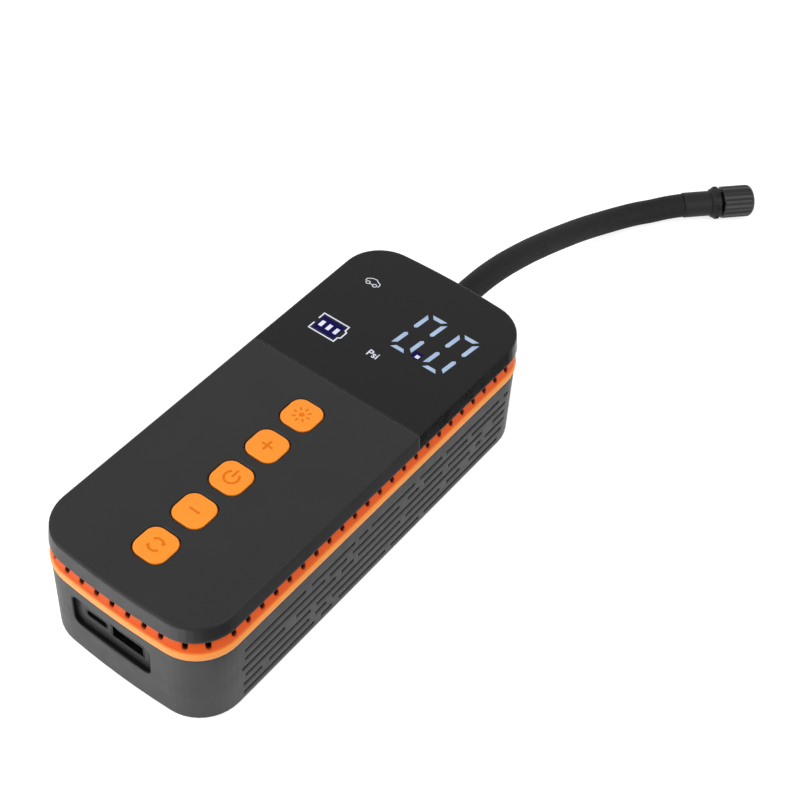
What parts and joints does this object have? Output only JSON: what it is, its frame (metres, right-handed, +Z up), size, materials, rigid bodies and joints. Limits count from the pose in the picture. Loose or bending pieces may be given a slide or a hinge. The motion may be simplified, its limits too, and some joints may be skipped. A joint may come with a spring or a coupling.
{
  "type": "portable tire inflator",
  "caption": "Cordless air pump with push buttons, a lit window, a slotted ring between its case halves, charging sockets and a short hose with a screw-on valve chuck.",
  "frame": {"origin": "on the table, under the middle of the housing, at the height of the undersides of the feet", "axes": "+Z up out of the button face, +Y along the housing to the hose end, +X to the right seen from the port end"},
  "size_m": [0.0809, 0.3294, 0.0475],
  "materials": {
    "case_grey": "fine-grained dark grey moulding",
    "ring_orange": "satin orange moulding",
    "cover_black": "matte black moulding",
    "window_black": "smoked glossy plastic",
    "button_orange": "satin orange moulding",
    "board_green": "solder-masked circuit board",
    "black_plastic": "black moulding",
    "display_white": "white light box",
    "steel": "plated steel",
    "cell_wrap": "shrink wrap",
    "nickel": "nickel strip",
    "copper": "wound copper",
    "brass": "turned brass",
    "aluminium": "die-cast",
    "rubber": "black rubber",
    "tube_clear": "silicone tube",
    "lamp_clear": "frosted lens",
    "chrome": "metallised",
    "braid": "braided jacket",
    "chuck_black": "black moulding"
  },
  "bodies": {
    "housing": {"bottom_case": "case_grey", "vent_ring": "ring_orange", "top_cover": "cover_black", "display_window": "window_black", "control_board": "board_green", "tact_switches": "black_plastic", "display_module": "display_white", "main_board": "board_green", "board_parts": "black_plastic", "pressure_sensor": "black_plastic", "usb_c_shell": "steel", "usb_c_tongue": "black_plastic", "usb_a_shell": "steel", "usb_a_tongue": "black_plastic", "battery_tray": "black_plastic", "battery_cells": "cell_wrap", "cell_links": "nickel", "motor_can": "steel", "motor_end_bell": "black_plastic", "motor_screws": "steel", "pump_frame": "aluminium", "gear_axle": "steel", "pump_cylinder": "aluminium", "cylinder_head": "aluminium", "head_screws": "steel", "outlet_tube": "tube_clear", "sensor_tube": "tube_clear", "lamp_lens": "lamp_clear", "lamp_reflector": "chrome", "lamp_board": "display_white", "hose_gland": "chuck_black", "gland_nut": "brass", "air_hose": "braid", "hose_sleeve": "chuck_black", "chuck_body": "brass", "chuck_collar": "chuck_black", "chuck_seal": "rubber", "rubber_feet": "rubber", "case_screws": "steel", "board_screws": "steel", "pump_screws": "steel"},
    "rotor": {"motor_shaft": "steel", "motor_armature": "copper", "pinion": "brass"},
    "crank": {"drive_gear": "steel", "crank_pin": "steel"},
    "piston": {"piston_rod": "aluminium", "rod_bush": "brass", "piston_ring": "rubber"},
    "light_key": {"button_light": "button_orange"},
    "plus_key": {"button_plus": "button_orange"},
    "power_key": {"button_power": "button_orange"},
    "minus_key": {"button_minus": "button_orange"},
    "mode_key": {"button_mode": "button_orange"},
    "thumb_cap": {"chuck_cap": "chuck_black"}
  },
  "joints": [
    {"name": "motor_spin", "type": "hinge", "parent": "housing", "child": "rotor", "pos_m": [-0.0125, 0.0202, 0.0179], "axis": [1, 0, 0], "continuous": true},
    {"name": "crank_spin", "type": "hinge", "parent": "housing", "child": "crank", "pos_m": [0.0114, 0.0377, 0.0179], "axis": [1, 0, 0], "continuous": true},
    {"name": "piston_slide", "type": "slide", "parent": "housing", "child": "piston", "axis": [0, 1, 0], "range_m": [0, 0.008]},
    {"name": "light_press", "type": "slide", "parent": "housing", "child": "light_key", "axis": [0, 0, -1], "range_m": [0, 0.0005], "stiffness_N_per_m": 800},
    {"name": "plus_press", "type": "slide", "parent": "housing", "child": "plus_key", "axis": [0, 0, -1], "range_m": [0, 0.0005], "stiffness_N_per_m": 800},
    {"name": "power_press", "type": "slide", "parent": "housing", "child": "power_key", "axis": [0, 0, -1], "range_m": [0, 0.0005], "stiffness_N_per_m": 800},
    {"name": "minus_press", "type": "slide", "parent": "housing", "child": "minus_key", "axis": [0, 0, -1], "range_m": [0, 0.0005], "stiffness_N_per_m": 800},
    {"name": "mode_press", "type": "slide", "parent": "housing", "child": "mode_key", "axis": [0, 0, -1], "range_m": [0, 0.0005], "stiffness_N_per_m": 800},
    {"name": "cap_spin", "type": "hinge", "parent": "housing", "child": "thumb_cap", "pos_m": [0.03903, 0.23705, 0.0067], "axis": [0.6807, 0.7325, 0], "continuous": true}
  ],
  "couplings": [
    {"joint": "crank_spin", "follows": "motor_spin", "ratio": -0.31579}
  ]
}
